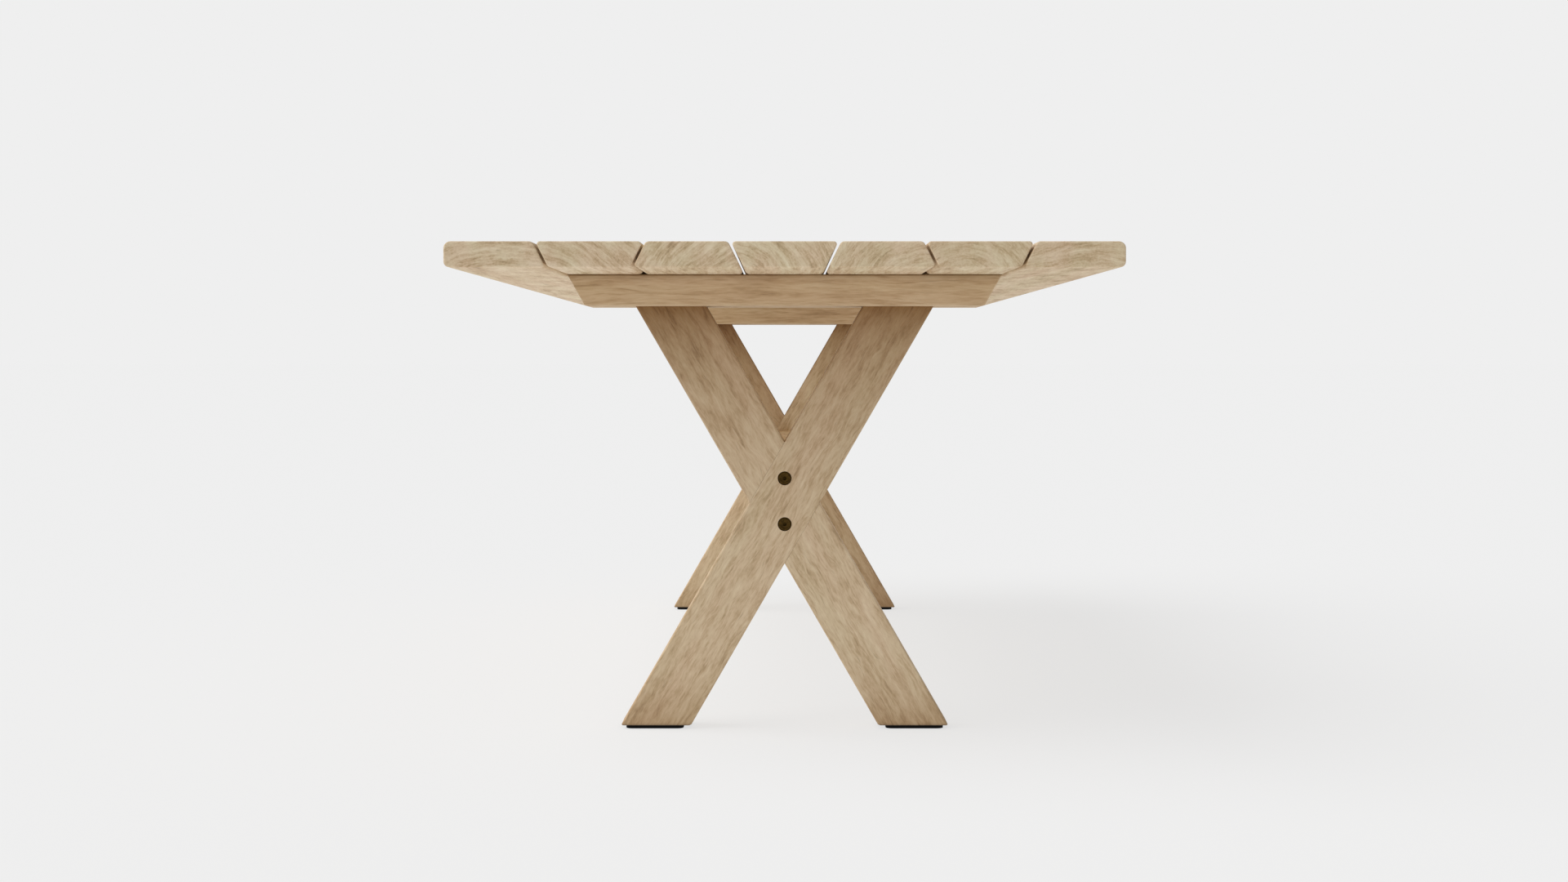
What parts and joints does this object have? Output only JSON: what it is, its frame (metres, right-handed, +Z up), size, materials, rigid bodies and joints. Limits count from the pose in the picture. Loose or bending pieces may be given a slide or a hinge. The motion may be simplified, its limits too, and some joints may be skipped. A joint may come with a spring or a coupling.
{
  "type": "picnic table",
  "caption": "Slatted outdoor dining table: a plank top with slanted gaps on crossed-leg end frames, tied by a long stretcher.",
  "frame": {"origin": "on the ground under the middle of the table", "axes": "+Z up, +Y along the table's length, +X across it to the right of a viewer who looks along +Y"},
  "size_m": [0.963, 2.2, 0.74],
  "materials": {
    "top_wood": "bare sanded hardwood, light straw colour, matt",
    "frame_wood": "bare sanded hardwood, straight grain, matt",
    "bronze_bolt": "dark bronze, satin",
    "hidden_steel": "zinc plated, satin",
    "foot_pad": "black, matt"
  },
  "bodies": {
    "root": {"back_beam": "frame_wood", "back_crossing_bolt_lower": "bronze_bolt", "back_crossing_bolt_upper": "bronze_bolt", "back_foot_pad_left": "foot_pad", "back_foot_pad_right": "foot_pad", "back_leg_bolt_left": "hidden_steel", "back_leg_bolt_right": "hidden_steel", "back_leg_nut_left": "hidden_steel", "back_leg_nut_right": "hidden_steel", "back_leg_rising_left": "frame_wood", "back_leg_rising_right": "frame_wood", "back_plank_screw_2": "hidden_steel", "back_plank_screw_3": "hidden_steel", "back_plank_screw_4": "hidden_steel", "back_plank_screw_5": "hidden_steel", "back_plank_screw_6": "hidden_steel", "back_stretcher_nut_lower": "hidden_steel", "back_stretcher_nut_upper": "hidden_steel", "batten_screw_1": "hidden_steel", "batten_screw_2": "hidden_steel", "batten_screw_3": "hidden_steel", "batten_screw_4": "hidden_steel", "batten_screw_5": "hidden_steel", "batten_screw_6": "hidden_steel", "batten_screw_7": "hidden_steel", "front_beam": "frame_wood", "front_crossing_bolt_lower": "bronze_bolt", "front_crossing_bolt_upper": "bronze_bolt", "front_foot_pad_left": "foot_pad", "front_foot_pad_right": "foot_pad", "front_leg_bolt_left": "hidden_steel", "front_leg_bolt_right": "hidden_steel", "front_leg_nut_left": "hidden_steel", "front_leg_nut_right": "hidden_steel", "front_leg_rising_left": "frame_wood", "front_leg_rising_right": "frame_wood", "front_plank_screw_2": "hidden_steel", "front_plank_screw_3": "hidden_steel", "front_plank_screw_4": "hidden_steel", "front_plank_screw_5": "hidden_steel", "front_plank_screw_6": "hidden_steel", "front_stretcher_nut_lower": "hidden_steel", "front_stretcher_nut_upper": "hidden_steel", "left_edge_pin_1": "hidden_steel", "left_edge_pin_2": "hidden_steel", "left_edge_pin_3": "hidden_steel", "left_edge_pin_4": "hidden_steel", "mid_batten": "frame_wood", "plank_1": "top_wood", "plank_2": "top_wood", "plank_3": "top_wood", "plank_4": "top_wood", "plank_5": "top_wood", "plank_6": "top_wood", "plank_7": "top_wood", "right_edge_pin_1": "hidden_steel", "right_edge_pin_2": "hidden_steel", "right_edge_pin_3": "hidden_steel", "right_edge_pin_4": "hidden_steel", "stretcher": "frame_wood"}
  },
  "joints": []
}
